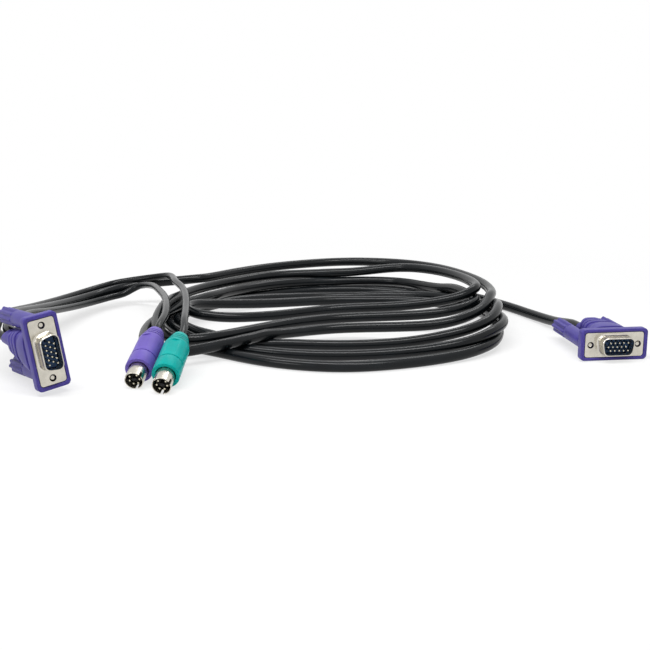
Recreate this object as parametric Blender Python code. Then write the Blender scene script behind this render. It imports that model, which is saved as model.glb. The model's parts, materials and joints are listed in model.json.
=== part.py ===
"""A keyboard, video and mouse cable lying in a loose coil on a table.

Both ends of the thick cable carry a moulded 15-pin high density video plug with
two captive thumbscrews. From the plug at the computer end two thin cords run
beside the thick one and end in round 6-pin plugs for a keyboard and a mouse.

Lengths are in metres and +Z is up. Each plug is built in a frame of its own:
X along the face, Z towards the wide side of the D, and -Y the way it is plugged in.
"""

import math

import bmesh
import bpy
from mathutils import Euler, Matrix, Vector

# Clearance between pieces that meet
GAP = 0.0003

# Sheet metal shell of the video plug
SCREW_SPACING = 0.025
FLANGE_END = 0.0029
FLANGE_WIDTH = SCREW_SPACING + 2 * FLANGE_END
FLANGE_HEIGHT = 0.0125
FLANGE_CORNER = 0.0013
SHEET = 0.0005
FLANGE_HOLE = 0.0034
SHROUD_WIDTH = 0.0169
SHROUD_HEIGHT = 0.0084
SHROUD_REACH = 0.0059
SHROUD_CORNER = 0.0024
SHROUD_SLOPE = math.radians(10)
SHROUD_FILLET = 0.0011
LIP_ROUNDING = 0.0002

# Contacts of the video plug
PIN_DIAMETER = 0.00076
PIN_PITCH = 0.00229
ROW_SPACING = 0.00198
PIN_ROWS = 3
PINS_PER_ROW = 5
PIN_REACH = 0.0047
PIN_ROOT = 0.0018
INSULATOR_FACE = 0.0005
INSULATOR_BACK = 0.0030

# Moulded hood of the video plug
BEZEL_END = 0.0022
BEZEL_SIDE = 0.00185
BEZEL_WIDTH = FLANGE_WIDTH + 2 * BEZEL_END
BEZEL_HEIGHT = FLANGE_HEIGHT + 2 * BEZEL_SIDE
BEZEL_DEPTH = 0.0042
BEZEL_CORNER = 0.0022
BEZEL_PROUD = 0.0004
BEZEL_ROUNDING = 0.0005
BODY_WIDTH = 0.0214
BODY_END_WIDTH = 0.0100
BODY_HEIGHT = 0.0152
BODY_LENGTH = 0.0280
BODY_SKEW = 0.0025
BODY_BULGE = 1.3
BODY_ROUNDING = 0.0008
COLLAR_START = 0.0064
COLLAR_END = 0.0165
COLLAR_BOW = 0.0070
RIB_START = 0.0178
RIB_END = 0.0272
RIB_COUNT = 3
RIB_GROOVE = 0.0006
LAYER = 0.0004
EAR_DIAMETER = 0.0082
EAR_LENGTH = 0.0282
EAR_ROUNDING = 0.0006
NECK_ANGLE = math.radians(7)
NECK_LENGTH = 0.0080
NECK_ROUNDING = 0.0005

# Captive thumbscrews
SCREW_DIAMETER = 0.0028
SCREW_RECESS = 0.0004
SCREW_IN_KNOB = 0.0095
KNOB_DIAMETER = 0.0084
KNOB_LENGTH = 0.0170
KNOB_LOBES = 8
FLUTE_DEPTH = 0.0009
KNOB_FREE_PLAY = 0.0006

# Round keyboard and mouse plugs
ROUND_DIAMETER = 0.0132
ROUND_LENGTH = 0.0330
ROUND_FRONT_RING = 0.0082
ROUND_TAIL_DIAMETER = 0.0082
ROUND_FLAT = 0.0060
GROOVE_DEPTH = 0.0005
GROOVE_WIDTH = 0.0007
GROOVE_PITCH = 0.0022
GROOVE_COUNT = 3
GROOVE_START = 0.0245
ROUND_SHELL_DIAMETER = 0.0090
ROUND_SHELL_WALL = 0.0004
ROUND_SHELL_REACH = 0.0088
ROUND_SHELL_ROOT = 0.0030
KEYWAY_WIDTH = 0.0012
KEYWAY_LENGTH = 0.0035
ROUND_INSULATOR_FACE = 0.0046
ROUND_PIN_DIAMETER = 0.0009
ROUND_PIN_REACH = 0.0030
ROUND_PIN_PLACES = [
    (side * across * 0.001, up * 0.001)
    for across, up in ((1.15, -2.2), (2.45, -0.3), (1.75, 1.9))
    for side in (-1, 1)
]
KEY_POST = (0.0021, 0.0012)

# Cords
CABLE_DIAMETER = 0.0056
CORD_DIAMETER = 0.0040
TWIN_OFFSET = (CABLE_DIAMETER + CORD_DIAMETER) / 2 + 2 * GAP
NECK_WALL = 0.0009

# Where the plugs lie: face centre in plan, then the turn, tilt and roll in degrees
SWITCH_PLUG = ((0.1442, -0.0822), (8.5, -0.8, 0.4))
COMPUTER_PLUG = ((-0.1277, -0.1392), (36.1, -4.8, 82.7))
MOUSE_PLUG = ((-0.0757, -0.1316), (-5.6, 16.6, 4.0))
KEYBOARD_PLUG = ((-0.0895, -0.1234), (-6.9, 17.5, -12.0))

# The coil's outer edge, one reach for each eighth of a turn, starting at +X
COIL_REACH = (0.108, 0.113, 0.117, 0.103, 0.101, 0.108, 0.107, 0.112)
COIL_BAND = 0.070
COIL_HEIGHT = 0.0145
COIL_EDGE = 0.002

# Routes of the cords after they leave their plugs, x, y, z
SWITCH_TAIL = (
    (0.1270, -0.0170, 0.0045),
    (0.1175, 0.0080, 0.0030),
    (0.1060, 0.0310, 0.0030),
    (0.0880, 0.0540, 0.0030),
)
COMPUTER_TAIL = (
    (-0.1582, -0.0920, 0.0228),
    (-0.1596, -0.0760, 0.0226),
    (-0.1588, -0.0580, 0.0208),
    (-0.1567, -0.0360, 0.0172),
    (-0.1536, -0.0100, 0.0124),
    (-0.1480, 0.0140, 0.0086),
    (-0.1400, 0.0325, 0.0070),
    (-0.1280, 0.0445, 0.0082),
    (-0.1120, 0.0495, 0.0108),
    (-0.0950, 0.0500, 0.0122),
    (-0.0780, 0.0480, 0.0126),
)

# The thin cords keep to the thick one's sides at first and wind round it a little
BUNDLE_LENGTH = 0.150
BUNDLE_TWIST = math.radians(-38)
MOUSE_CORD = (
    (-0.1110, 0.0585, 0.0185),
    (-0.0985, 0.0490, 0.0222),
    (-0.0890, 0.0290, 0.0226),
    (-0.0830, 0.0040, 0.0224),
    (-0.0785, -0.0250, 0.0218),
    (-0.0760, -0.0540, 0.0206),
    (-0.0742, -0.0790, 0.0190),
)
KEYBOARD_CORD = (
    (-0.1170, 0.0400, 0.0128),
    (-0.1060, 0.0290, 0.0178),
    (-0.0975, 0.0090, 0.0200),
    (-0.0920, -0.0170, 0.0204),
    (-0.0885, -0.0420, 0.0203),
    (-0.0865, -0.0640, 0.0200),
    (-0.0858, -0.0800, 0.0194),
)
LEAD_OUT = 0.008
CORD_FACET_STEPS = 2
POINTS_PER_DIAMETER = 2.4

# Middle of the plugs' box in plan, which becomes the origin
LAYOUT_CENTRE = (0.00107, -0.09059)

# How finely round forms are divided
ROUND_STEPS = 20
CORNER_STEPS = 4
LOFT_STEPS = 28


def clear_scene():
    for item in list(bpy.data.objects):
        bpy.data.objects.remove(item, do_unlink=True)


def plastic(name, colour, roughness, metallic=0.0):
    material = bpy.data.materials.new(name)
    material.use_nodes = True
    shader = material.node_tree.nodes["Principled BSDF"]
    shader.inputs["Base Color"].default_value = (*colour, 1.0)
    shader.inputs["Roughness"].default_value = roughness
    shader.inputs["Metallic"].default_value = metallic
    return material


def add_object(name, mesh_maker, material, parent):
    """A smooth shaded object whose mesh is filled in by mesh_maker(bm)."""
    mesh = bpy.data.meshes.new(name)
    bm = bmesh.new()
    mesh_maker(bm)
    bmesh.ops.recalc_face_normals(bm, faces=bm.faces)
    bm.to_mesh(mesh)
    bm.free()
    mesh.shade_smooth()
    mesh.set_sharp_from_angle(angle=math.radians(35))
    item = bpy.data.objects.new(name, mesh)
    bpy.context.scene.collection.objects.link(item)
    if material:
        mesh.materials.append(material)
    item.parent = parent
    return item


def add_empty(name, place, turn, parent):
    """A frame for a sub-part: turn is about Z, then X, then Y, in degrees."""
    frame = bpy.data.objects.new(name, None)
    bpy.context.scene.collection.objects.link(frame)
    frame.parent = parent
    frame.rotation_mode = "YXZ"
    yaw, tilt, roll = (math.radians(angle) for angle in turn)
    frame.rotation_euler = Euler((tilt, roll, yaw), "YXZ")
    frame.location = (place[0], place[1], 0.0)
    return frame


def combine(item, other, operation):
    """Joins other to item, or cuts it away, and keeps other out of the render."""
    change = item.modifiers.new(other.name, "BOOLEAN")
    change.object = other
    change.operation = operation
    other.hide_render = True
    other.display_type = "WIRE"


def join_rings(bm, rings, closed=False):
    """Skins a row of rings with the same number of points, with capped ends."""
    made = [[bm.verts.new(point) for point in ring] for ring in rings]
    pairs = list(zip(made, made[1:]))
    if closed:
        pairs.append((made[-1], made[0]))
    for first, second in pairs:
        for k in range(len(first)):
            n = (k + 1) % len(first)
            bm.faces.new((first[k], first[n], second[n], second[k]))
    if not closed:
        bm.faces.new(made[0])
        bm.faces.new(made[-1])


def superellipse(y, half_width, half_height, power=2.6, steps=LOFT_STEPS):
    ring = []
    for k in range(steps):
        angle = 2 * math.pi * (k + 0.5) / steps
        c, s = math.cos(angle), math.sin(angle)
        x = half_width * math.copysign(abs(c) ** (2 / power), c)
        z = half_height * math.copysign(abs(s) ** (2 / power), s)
        ring.append(Vector((x, y, z)))
    return ring


def rounded_outline(corners, radius, y, grow=0.0):
    """A convex outline with round corners in the XZ plane, moved outwards by grow."""
    ring = []
    count = len(corners)
    for k in range(count):
        before = (Vector(corners[k - 1]) - Vector(corners[k])).normalized()
        after = (Vector(corners[(k + 1) % count]) - Vector(corners[k])).normalized()
        half = math.acos(max(-1.0, min(1.0, before.dot(after)))) / 2
        inward = (before + after).normalized()
        centre = Vector(corners[k]) + inward * (radius / math.sin(half))
        first = math.atan2(before.x, -before.y)
        second = math.atan2(-after.x, after.y)
        sweep = (second - first + math.pi) % (2 * math.pi) - math.pi
        for step in range(CORNER_STEPS + 1):
            angle = first + sweep * step / CORNER_STEPS
            out = Vector((math.cos(angle), math.sin(angle)))
            point = centre + out * (radius + grow)
            ring.append(Vector((point.x, y, point.y)))
    return ring


def rectangle_ring(width, height, radius, y, grow=0.0):
    corners = [
        (-width / 2, -height / 2),
        (width / 2, -height / 2),
        (width / 2, height / 2),
        (-width / 2, height / 2),
    ]
    return rounded_outline(corners, radius, y, grow)


def shroud_ring(y, grow=0.0):
    """The D outline of the shell, inside face, wide side up."""
    half_top = SHROUD_WIDTH / 2
    half_bottom = half_top - SHROUD_HEIGHT * math.tan(SHROUD_SLOPE)
    corners = [
        (-half_bottom, -SHROUD_HEIGHT / 2),
        (half_bottom, -SHROUD_HEIGHT / 2),
        (half_top, SHROUD_HEIGHT / 2),
        (-half_top, SHROUD_HEIGHT / 2),
    ]
    return rounded_outline(corners, SHROUD_CORNER, y, grow)


def circle_ring(y, radius, x=0.0, z=0.0, steps=ROUND_STEPS, lobes=0.0):
    """A circle about the Y direction, or a fluted one where lobes is a depth."""
    ring = []
    for k in range(steps):
        angle = 2 * math.pi * k / steps
        r = radius - lobes * (0.5 - 0.5 * math.cos(KNOB_LOBES * angle))
        ring.append(Vector((x + r * math.cos(angle), y, z + r * math.sin(angle))))
    return ring


def turned(profile, x=0.0, z=0.0, steps=ROUND_STEPS):
    """Rings of a piece turned about the Y direction from (y, radius) pairs."""
    return [circle_ring(y, radius, x, z, steps) for y, radius in profile]


def screw_sides():
    return (("left", -SCREW_SPACING / 2), ("right", SCREW_SPACING / 2))


def make_shell(plug, parent, metal):
    """Flange and D shroud, drawn from one sheet of nickel plated steel."""

    def plate(bm):
        outline = (FLANGE_WIDTH, FLANGE_HEIGHT, FLANGE_CORNER)
        join_rings(bm, [rectangle_ring(*outline, y) for y in (0.0, SHEET)])

    def shroud(bm):
        rings = [shroud_ring(SHEET / 2, SHEET + SHROUD_FILLET)]
        for step in range(CORNER_STEPS + 1):
            angle = math.pi / 2 * step / CORNER_STEPS
            grow = SHEET + SHROUD_FILLET * (1 - math.sin(angle))
            rings.append(shroud_ring(-SHROUD_FILLET * (1 - math.cos(angle)), grow))
        rings.append(shroud_ring(LIP_ROUNDING - SHROUD_REACH, SHEET))
        rings.append(shroud_ring(-SHROUD_REACH, SHEET - LIP_ROUNDING))
        join_rings(bm, rings)

    def inside(bm):
        join_rings(bm, [shroud_ring(y) for y in (2 * SHEET, -2 * SHROUD_REACH)])

    def holes(bm):
        for _, x in screw_sides():
            ends = ((-SHEET, FLANGE_HOLE / 2), (2 * SHEET, FLANGE_HOLE / 2))
            join_rings(bm, turned(ends, x))

    shell = add_object(f"{plug}_shell", plate, metal, parent)
    combine(shell, add_object(f"{plug}_shroud_form", shroud, None, parent), "UNION")
    combine(shell, add_object(f"{plug}_shroud_cut", inside, None, parent), "DIFFERENCE")
    combine(shell, add_object(f"{plug}_hole_cut", holes, None, parent), "DIFFERENCE")


def pin_places():
    """Places of the contacts: three rows, the middle one half a pitch aside."""
    places = []
    for row in range(PIN_ROWS):
        aside = -PIN_PITCH / 4 if row % 2 else PIN_PITCH / 4
        for column in range(PINS_PER_ROW):
            x = (column - (PINS_PER_ROW - 1) / 2) * PIN_PITCH + aside
            z = ((PIN_ROWS - 1) / 2 - row) * ROW_SPACING
            places.append((x, z))
    return places


def make_contacts(plug, parent, blue, metal):
    """The insulator and its fifteen pins, each in a hole of its own."""
    hole_radius = PIN_DIAMETER / 2 + GAP
    pin_back = -INSULATOR_FACE + PIN_ROOT
    pin_tip = -INSULATOR_FACE - PIN_REACH
    blunt = PIN_DIAMETER / 4

    def block(bm):
        ends = (-INSULATOR_FACE, INSULATOR_BACK)
        join_rings(bm, [shroud_ring(y, -GAP) for y in ends])

    def holes(bm):
        ends = ((-2 * INSULATOR_FACE, hole_radius), (pin_back + GAP, hole_radius))
        for x, z in pin_places():
            join_rings(bm, turned(ends, x, z, steps=8))

    def pin(bm):
        ends = (
            (pin_back, PIN_DIAMETER / 2),
            (pin_tip + blunt, PIN_DIAMETER / 2),
            (pin_tip, PIN_DIAMETER / 4),
        )
        join_rings(bm, turned(ends, steps=8))

    insulator = add_object(f"{plug}_insulator", block, blue, parent)
    cutter = add_object(f"{plug}_pin_holes", holes, None, parent)
    combine(insulator, cutter, "DIFFERENCE")
    for number, (x, z) in enumerate(pin_places(), start=1):
        contact = add_object(f"{plug}_pin_{number:02d}", pin, metal, parent)
        contact.location = (x, 0.0, z)


def body_width(y):
    """Half width of the hood's body, which narrows in a bell towards the neck."""
    t = max(0.0, (y - BEZEL_DEPTH) / (BODY_LENGTH - BEZEL_DEPTH))
    return BODY_WIDTH / 2 - (BODY_WIDTH - BODY_END_WIDTH) / 2 * t**BODY_BULGE


def body_middle(y):
    """The body leans towards the neck's side, more and more to the rear."""
    t = max(0.0, (y - BEZEL_DEPTH) / (BODY_LENGTH - BEZEL_DEPTH))
    return -BODY_SKEW * t**2


def neck_sizes(cords):
    """Half width and half height of the neck round one cable or three cords."""
    half = CABLE_DIAMETER / 2 + NECK_WALL
    if cords == 1:
        return half, half
    return half, TWIN_OFFSET + CORD_DIAMETER / 2 + NECK_WALL / 2


def neck_frame():
    """The neck leaves the end of the body at an angle to the plug."""
    turn = Matrix.Rotation(NECK_ANGLE, 4, "Z")
    return Matrix.Translation((-BODY_SKEW, BODY_LENGTH, 0.0)) @ turn


def raised_plate(bm, start, end, bow, side_inset):
    """A layer across both flat sides of the body, its rear edge bowed forwards."""
    half_height = BODY_HEIGHT / 2 + LAYER
    steps = 2 * CORNER_STEPS
    outline = []
    for k in range(steps + 1):
        across = 2 * k / steps - 1
        y = end - bow * across**2
        x = body_middle(y) + across * (body_width(y) - side_inset)
        outline.append(Vector((x, y)))
    for across in (1, -1):
        x = body_middle(start) + across * (body_width(start) - side_inset)
        outline.append(Vector((x, start)))
    middle = sum(outline, Vector((0.0, 0.0))) / len(outline)
    levels = ((-half_height, LAYER), (LAYER - half_height, 0.0))
    levels += ((half_height - LAYER, 0.0), (half_height, LAYER))
    rings = []
    for z, inset in levels:
        ring = []
        for point in outline:
            inwards = (middle - point).normalized() * inset
            ring.append((point.x + inwards.x, point.y + inwards.y, z))
        rings.append(ring)
    join_rings(bm, rings)


def make_hood(plug, parent, purple, cords):
    """Bezel, bell shaped body, screw ears and neck, moulded in one piece."""

    def bezel(bm):
        outline = (BEZEL_WIDTH, BEZEL_HEIGHT, BEZEL_CORNER)
        levels = (
            (-BEZEL_PROUD, -BEZEL_ROUNDING),
            (BEZEL_ROUNDING - BEZEL_PROUD, 0.0),
            (BEZEL_DEPTH - BEZEL_ROUNDING, 0.0),
            (BEZEL_DEPTH, -BEZEL_ROUNDING),
        )
        join_rings(bm, [rectangle_ring(*outline, y, grow) for y, grow in levels])

    def body(bm):
        steps = 8
        start, end = BEZEL_DEPTH / 2, BODY_LENGTH - BODY_ROUNDING
        rings = []
        for k in range(steps + 1):
            y = start + (end - start) * k / steps
            ring = superellipse(y, body_width(y), BODY_HEIGHT / 2, 3.4)
            rings.append([point + Vector((body_middle(y), 0, 0)) for point in ring])
        width = body_width(BODY_LENGTH) - BODY_ROUNDING
        height = BODY_HEIGHT / 2 - BODY_ROUNDING
        ring = superellipse(BODY_LENGTH, width, height, 3.4)
        rings.append([point + Vector((-BODY_SKEW, 0, 0)) for point in ring])
        join_rings(bm, rings)

    def layers(bm):
        raised_plate(bm, COLLAR_START, COLLAR_END, COLLAR_BOW, -LAYER)
        pitch = (RIB_END - RIB_START + RIB_GROOVE) / RIB_COUNT
        for rib in range(RIB_COUNT):
            start = RIB_START + rib * pitch
            raised_plate(bm, start, start + pitch - RIB_GROOVE, 0.0, 4 * LAYER)

    def neck(bm):
        width, height = neck_sizes(cords)
        levels = (
            (-BODY_LENGTH / 4, NECK_WALL),
            (0.0, 0.0),
            (NECK_LENGTH - NECK_ROUNDING, 0.0),
            (NECK_LENGTH, NECK_ROUNDING),
        )
        rings = [superellipse(y, width - i, height - i, 2.3, 24) for y, i in levels]
        place = neck_frame()
        join_rings(bm, [[place @ point for point in ring] for ring in rings])

    def ears(side):
        def ear(bm):
            r = EAR_DIAMETER / 2
            ends = (
                (BEZEL_DEPTH / 2, r),
                (EAR_LENGTH - EAR_ROUNDING, r),
                (EAR_LENGTH, r - EAR_ROUNDING),
            )
            join_rings(bm, turned(ends, side))

        return ear

    def recess(bm):
        outline = (FLANGE_WIDTH, FLANGE_HEIGHT, FLANGE_CORNER)
        depths = (-BEZEL_DEPTH, SHEET + GAP)
        join_rings(bm, [rectangle_ring(*outline, y, GAP) for y in depths])

    def cavity(bm):
        depths = (-SHEET, INSULATOR_BACK + GAP)
        join_rings(bm, [shroud_ring(y, GAP) for y in depths])

    def bores(bm):
        radius = SCREW_DIAMETER / 2 + GAP
        for _, x in screw_sides():
            ends = ((-SHEET, radius), (EAR_LENGTH + SHEET, radius))
            join_rings(bm, turned(ends, x, steps=16))

    hood = add_object(f"{plug}_hood", bezel, purple, parent)
    for name, form in (("body", body), ("layer", layers), ("neck", neck)):
        combine(hood, add_object(f"{plug}_{name}_form", form, None, parent), "UNION")
    for side, x in screw_sides():
        ear = add_object(f"{plug}_{side}_ear_form", ears(x), None, parent)
        combine(hood, ear, "UNION")
    for name, form in (("recess", recess), ("cavity", cavity), ("bore", bores)):
        combine(hood, add_object(f"{plug}_{name}_cut", form, None, parent), "DIFFERENCE")


def make_thumbscrews(plug, parent, purple, metal):
    """Two fluted knobs, each moulded on a steel screw that turns in its ear."""
    knob_front = EAR_LENGTH + KNOB_FREE_PLAY
    radius = KNOB_DIAMETER / 2
    bore = SCREW_DIAMETER / 2 + GAP
    rounding = EAR_ROUNDING
    dish = radius * 0.6

    def knob(bm):
        steps = KNOB_LOBES * 4
        levels = (
            (SCREW_IN_KNOB + GAP, bore, 0.0),
            (0.0, bore, 0.0),
            (0.0, radius - rounding, FLUTE_DEPTH * 0.6),
            (rounding, radius, FLUTE_DEPTH),
            (KNOB_LENGTH - rounding, radius, FLUTE_DEPTH),
            (KNOB_LENGTH, radius - rounding, FLUTE_DEPTH * 0.6),
            (KNOB_LENGTH, dish, 0.0),
            (KNOB_LENGTH - 2 * rounding, dish, 0.0),
        )
        rings = [
            circle_ring(knob_front + y, r, steps=steps, lobes=depth)
            for y, r, depth in levels
        ]
        join_rings(bm, rings)

    def screw(bm):
        r = SCREW_DIAMETER / 2
        profile = (
            (SCREW_RECESS, r * 0.7),
            (SCREW_RECESS + r * 0.3, r),
            (knob_front + SCREW_IN_KNOB, r),
        )
        join_rings(bm, turned(profile, steps=16))

    for side, x in screw_sides():
        for name, form, finish in (("knob", knob, purple), ("screw", screw, metal)):
            piece = add_object(f"{plug}_{side}_{name}", form, finish, parent)
            piece.location = (x, 0.0, 0.0)


def round_profile():
    """Depth and radius along the moulded body of a round plug, front to back."""
    full, tail = ROUND_DIAMETER / 2, ROUND_TAIL_DIAMETER / 2
    bore = ROUND_SHELL_DIAMETER / 2 + GAP
    depth = ROUND_SHELL_ROOT + GAP
    edge, dip = GROOVE_DEPTH, GROOVE_WIDTH
    waist_end = GROOVE_START - 2 * GROOVE_WIDTH
    profile = [
        (depth, bore),
        (0.0, bore),
        (0.0, full - edge),
        (edge, full),
        (ROUND_FRONT_RING - edge / 2, full),
        (ROUND_FRONT_RING, full - edge),
        (ROUND_FRONT_RING + dip, full - edge),
        (ROUND_FRONT_RING + 2 * dip, full - edge / 4),
        (waist_end, full - edge / 2),
    ]
    slope = (full - edge / 2 - tail) / (ROUND_LENGTH - waist_end)
    for groove in range(GROOVE_COUNT):
        start = GROOVE_START + groove * GROOVE_PITCH
        shore = full - edge / 2 - slope * (start - waist_end)
        profile += [(start, shore), (start + edge / 2, shore - GROOVE_DEPTH)]
        far = start + GROOVE_WIDTH + edge / 2
        shore -= slope * GROOVE_WIDTH
        profile += [(far, shore - GROOVE_DEPTH), (far + edge / 2, shore)]
    profile += [(ROUND_LENGTH - edge, tail), (ROUND_LENGTH, tail - edge)]
    return profile


def make_round_plug(plug, parent, colour, black, metal):
    """A round 6-pin plug: moulded body, metal shell, insulator with its pins."""
    outer = ROUND_SHELL_DIAMETER / 2
    inner = outer - ROUND_SHELL_WALL
    block = inner - GAP

    def body(bm):
        join_rings(bm, turned(round_profile()))

    def flat(bm):
        bmesh.ops.create_cube(bm, size=ROUND_DIAMETER)
        middle = (ROUND_FRONT_RING + GROOVE_START) / 2
        length = GROOVE_START - ROUND_FRONT_RING - 4 * GROOVE_WIDTH
        bmesh.ops.scale(bm, vec=(1.0, length / ROUND_DIAMETER, 1.0), verts=bm.verts)
        up = ROUND_FLAT + ROUND_DIAMETER / 2
        bmesh.ops.translate(bm, vec=(0.0, middle, up), verts=bm.verts)

    def tube(bm):
        lip = ROUND_SHELL_WALL / 3
        profile = (
            (ROUND_SHELL_ROOT, inner),
            (-ROUND_SHELL_REACH, inner),
            (-ROUND_SHELL_REACH, outer - lip),
            (lip - ROUND_SHELL_REACH, outer),
            (ROUND_SHELL_ROOT, outer),
        )
        join_rings(bm, turned(profile), closed=True)

    def keyways(bm):
        for angle in (90, 210, 330):
            made = bmesh.ops.create_cube(bm, size=1.0)["verts"]
            size = (2 * ROUND_SHELL_WALL + GAP, 2 * KEYWAY_LENGTH, KEYWAY_WIDTH)
            bmesh.ops.scale(bm, vec=size, verts=made)
            place = Vector((inner + ROUND_SHELL_WALL / 2, -ROUND_SHELL_REACH, 0.0))
            bmesh.ops.translate(bm, vec=place, verts=made)
            turn = Matrix.Rotation(math.radians(angle), 3, "Y")
            bmesh.ops.rotate(bm, cent=(0, 0, 0), matrix=turn, verts=made)

    def base(bm):
        ends = ((-ROUND_INSULATOR_FACE, block), (ROUND_SHELL_ROOT, block))
        join_rings(bm, turned(ends))

    def pins(bm):
        tip = -ROUND_INSULATOR_FACE - ROUND_PIN_REACH
        r = ROUND_PIN_DIAMETER / 2
        profile = ((tip, r / 2), (tip + r / 2, r), (0.0, r))
        for x, z in ROUND_PIN_PLACES:
            join_rings(bm, turned(profile, x, z, steps=8))

    def key(bm):
        made = bmesh.ops.create_cube(bm, size=1.0)["verts"]
        reach = ROUND_INSULATOR_FACE + ROUND_PIN_REACH
        size = (KEY_POST[0], reach, KEY_POST[1])
        bmesh.ops.scale(bm, vec=size, verts=made)
        bmesh.ops.translate(bm, vec=(0.0, -reach / 2, 0.0), verts=made)

    shape = add_object(f"{plug}_body", body, colour, parent)
    combine(shape, add_object(f"{plug}_flat_cut", flat, None, parent), "DIFFERENCE")
    shell = add_object(f"{plug}_shell", tube, metal, parent)
    combine(shell, add_object(f"{plug}_keyway_cut", keyways, None, parent), "DIFFERENCE")
    insulator = add_object(f"{plug}_insulator", base, black, parent)
    for name, form in (("pins", pins), ("key", key)):
        combine(insulator, add_object(f"{plug}_{name}_form", form, None, parent), "UNION")


def stand_on_table(frame):
    """Raises a plug's frame until its lowest point touches the table."""
    bpy.context.view_layer.update()
    graph = bpy.context.evaluated_depsgraph_get()
    lowest = min(
        (item.matrix_world @ vertex.co).z
        for item in frame.children
        if not item.hide_render
        for vertex in item.evaluated_get(graph).data.vertices
    )
    frame.location.z -= lowest
    bpy.context.view_layer.update()


def smooth_points(points, spacing):
    """Points about spacing apart on the centripetal curve through the given ones."""
    ends = [2 * points[0] - points[1], *points, 2 * points[-1] - points[-2]]
    curve = []
    for before, start, end, after in zip(ends, ends[1:], ends[2:], ends[3:]):
        knots = [0.0]
        for first, second in ((before, start), (start, end), (end, after)):
            knots.append(knots[-1] + math.sqrt((second - first).length))
        parts = max(1, round((end - start).length / spacing))
        for part in range(parts):
            t = knots[1] + (knots[2] - knots[1]) * part / parts

            def mix(a, b, low, high):
                return a * ((high - t) / (high - low)) + b * ((t - low) / (high - low))

            near = mix(before, start, knots[0], knots[1])
            middle = mix(start, end, knots[1], knots[2])
            far = mix(end, after, knots[2], knots[3])
            first = mix(near, middle, knots[0], knots[2])
            second = mix(middle, far, knots[1], knots[3])
            curve.append(mix(first, second, knots[1], knots[2]))
    curve.append(points[-1])
    return curve


def coil_reach(angle):
    """Outer radius of the coil in a direction, smooth between its eight reaches."""
    count = len(COIL_REACH)
    place = (angle / (2 * math.pi)) % 1.0 * count
    k, t = int(place) % count, place % 1.0
    a, b, c, d = (COIL_REACH[(k + shift) % count] for shift in (-1, 0, 1, 2))
    return b + t / 2 * (c - a + t * (2 * a - 5 * b + 4 * c - d + t * (3 * (b - c) + d - a)))


def clear_of_coil(centre, direction, radius):
    """Distance of a cord's end face from the outside of the coil, in plan."""
    flat = Vector((direction.x, direction.y)).normalized()
    side = Vector((-flat.y, flat.x)) * radius
    reach = []
    for offset in (-side, side, side * 0.0):
        point = Vector((centre.x, centre.y)) + offset
        reach.append(point.length - coil_reach(math.atan2(point.y, point.x)))
    return min(reach)


def cut_at_coil(points, radius):
    """The points of a route that starts outside the coil, ended against its side."""
    kept = [points[0]]
    for last, following in zip(points, points[1:]):
        direction = (following - last).normalized()
        if clear_of_coil(following, direction, radius) > GAP:
            kept.append(following)
            continue
        low, high = 0.0, (following - last).length
        for _ in range(30):
            middle = (low + high) / 2
            inside = clear_of_coil(last + direction * middle, direction, radius) < GAP
            low, high = (low, middle) if inside else (middle, high)
        if low > radius or len(kept) == 1:
            kept.append(last + direction * low)
        else:
            kept[-1] = last + direction * low
        return kept
    return kept


def make_cord(name, points, diameter, material, parent):
    """A round cord along its points, with flat ends."""
    curve = bpy.data.curves.new(name, "CURVE")
    curve.dimensions = "3D"
    curve.bevel_depth = diameter / 2
    curve.bevel_resolution = CORD_FACET_STEPS
    curve.use_fill_caps = True
    line = curve.splines.new("POLY")
    line.points.add(len(points) - 1)
    for target, point in zip(line.points, points):
        target.co = (*point, 1.0)
    cord = bpy.data.objects.new(name, curve)
    curve.materials.append(material)
    bpy.context.scene.collection.objects.link(cord)
    cord.parent = parent


def make_coil(parent, material):
    """The outer shape of the coiled cable, as one ring."""

    def ring(bm):
        steps = 48
        edge = COIL_EDGE
        section = (
            (0.0, edge),
            (0.0, COIL_HEIGHT - edge),
            (edge, COIL_HEIGHT),
            (COIL_BAND - edge, COIL_HEIGHT),
            (COIL_BAND, COIL_HEIGHT - edge),
            (COIL_BAND, edge),
            (COIL_BAND - edge, 0.0),
            (edge, 0.0),
        )
        rings = []
        for k in range(steps):
            angle = 2 * math.pi * k / steps
            out = Vector((math.cos(angle), math.sin(angle), 0.0))
            reach = coil_reach(angle)
            rings.append(
                [out * (reach - inset) + Vector((0, 0, z)) for inset, z in section]
            )
        join_rings(bm, rings, closed=True)

    add_object("coiled_cable", ring, material, parent)


def leaving(place, back):
    """The first two points of a cord behind a plug, in the layout's frame."""
    return [place @ Vector((0.0, back + step, 0.0)) for step in (GAP, LEAD_OUT)]


def beside(cable, side, direction):
    """Points next to a cable's own: they start on one side and wind round it."""
    points = []
    length = 0.0
    along = (cable[1] - cable[0]).normalized()
    for last, here, following in zip([cable[0], *cable], cable, cable[1:]):
        length += (here - last).length
        if length > BUNDLE_LENGTH:
            break
        along = (following - last).normalized()
        right = along.cross(Vector((0.0, 0.0, 1.0))).normalized()
        up = right.cross(along).normalized()
        if not points:
            start = math.atan2(side.dot(up), side.dot(right))
        angle = start + BUNDLE_TWIST * length / BUNDLE_LENGTH
        aside = right * math.cos(angle) + up * math.sin(angle)
        points.append(here + direction * TWIN_OFFSET * aside)
    return points


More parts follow.
